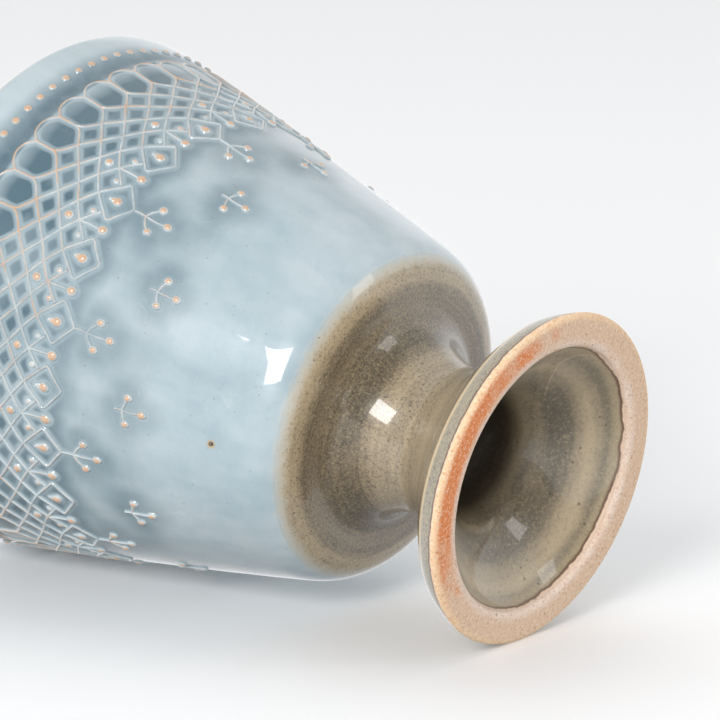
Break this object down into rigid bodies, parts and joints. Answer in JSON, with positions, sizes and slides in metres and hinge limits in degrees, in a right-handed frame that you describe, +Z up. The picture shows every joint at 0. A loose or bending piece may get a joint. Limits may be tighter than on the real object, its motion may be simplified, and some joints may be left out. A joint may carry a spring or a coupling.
{
  "type": "ceramic bud vase",
  "caption": "Small footed ceramic vase: a tapered bowl on a waisted hollow foot with a bare ring, glazed, with slip-trailed lace below the rim.",
  "frame": {"origin": "centre of the foot ring, on the surface the vase stands on", "axes": "+Z up along the vase's axis of turning, towards the mouth; X and Y are level"},
  "size_m": [0.0874, 0.0874, 0.102],
  "materials": {
    "bare_clay": "bare fired clay, matt, peach to orange where the flame flashed it",
    "slip": "fired joining slip, matt",
    "blue_glaze": "glossy grey-blue glaze, darker where it pools, finely crazed",
    "brown_glaze": "glossy olive-brown glaze with fine dark and light specks",
    "hollow_glaze": "glossy olive-grey glaze, darker towards the well",
    "liner_glaze": "glossy pale blue-grey liner glaze",
    "trailed_slip": "trailed slip under thin glaze, white at the sides and orange on the crowns"
  },
  "bodies": {
    "root": {"bowl": "bare_clay", "foot": "bare_clay", "slip_joint": "slip", "blue_glaze": "blue_glaze", "brown_glaze": "brown_glaze", "foot_hollow_glaze": "hollow_glaze", "bowl_liner_glaze": "liner_glaze", "rim_beads": "trailed_slip", "scallop_trail": "trailed_slip", "diamond_net": "trailed_slip", "lozenge_frames": "trailed_slip", "frame_seeds": "trailed_slip", "net_seeds": "trailed_slip", "side_beads": "trailed_slip", "pins": "trailed_slip", "hanging_sprigs": "trailed_slip", "free_sprigs": "trailed_slip"}
  },
  "joints": []
}
